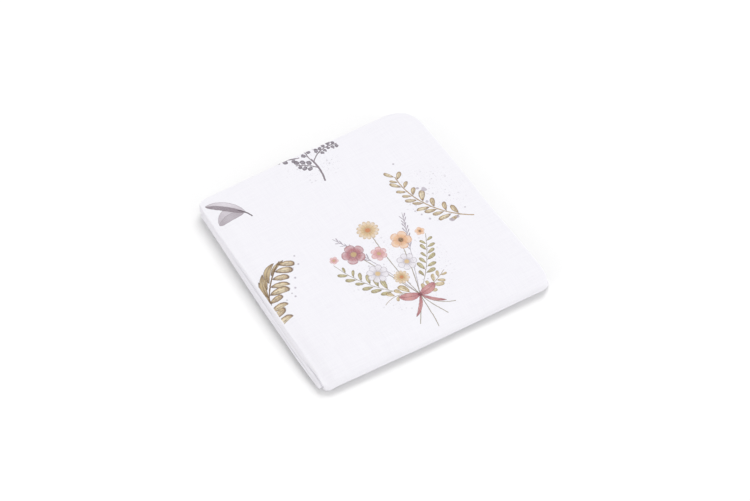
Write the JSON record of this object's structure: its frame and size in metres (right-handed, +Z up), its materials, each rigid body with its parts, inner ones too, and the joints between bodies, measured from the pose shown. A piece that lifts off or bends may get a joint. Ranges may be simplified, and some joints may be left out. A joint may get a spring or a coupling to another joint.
{
  "type": "folded swaddle blanket",
  "caption": "Square muslin swaddle blanket folded into a flat packet that lies on a shelf, table or changing mat.",
  "frame": {"origin": "middle of the folded packet's box, on the surface that it rests on", "axes": "+X along the wide front fold, +Y from the front fold to the back, +Z up"},
  "size_m": [0.3058, 0.3154, 0.0218],
  "materials": {
    "muslin": "matte woven cotton, printed with small sprigs on a cool white ground"
  },
  "bodies": {
    "root": {"blanket": "muslin"}
  },
  "joints": []
}
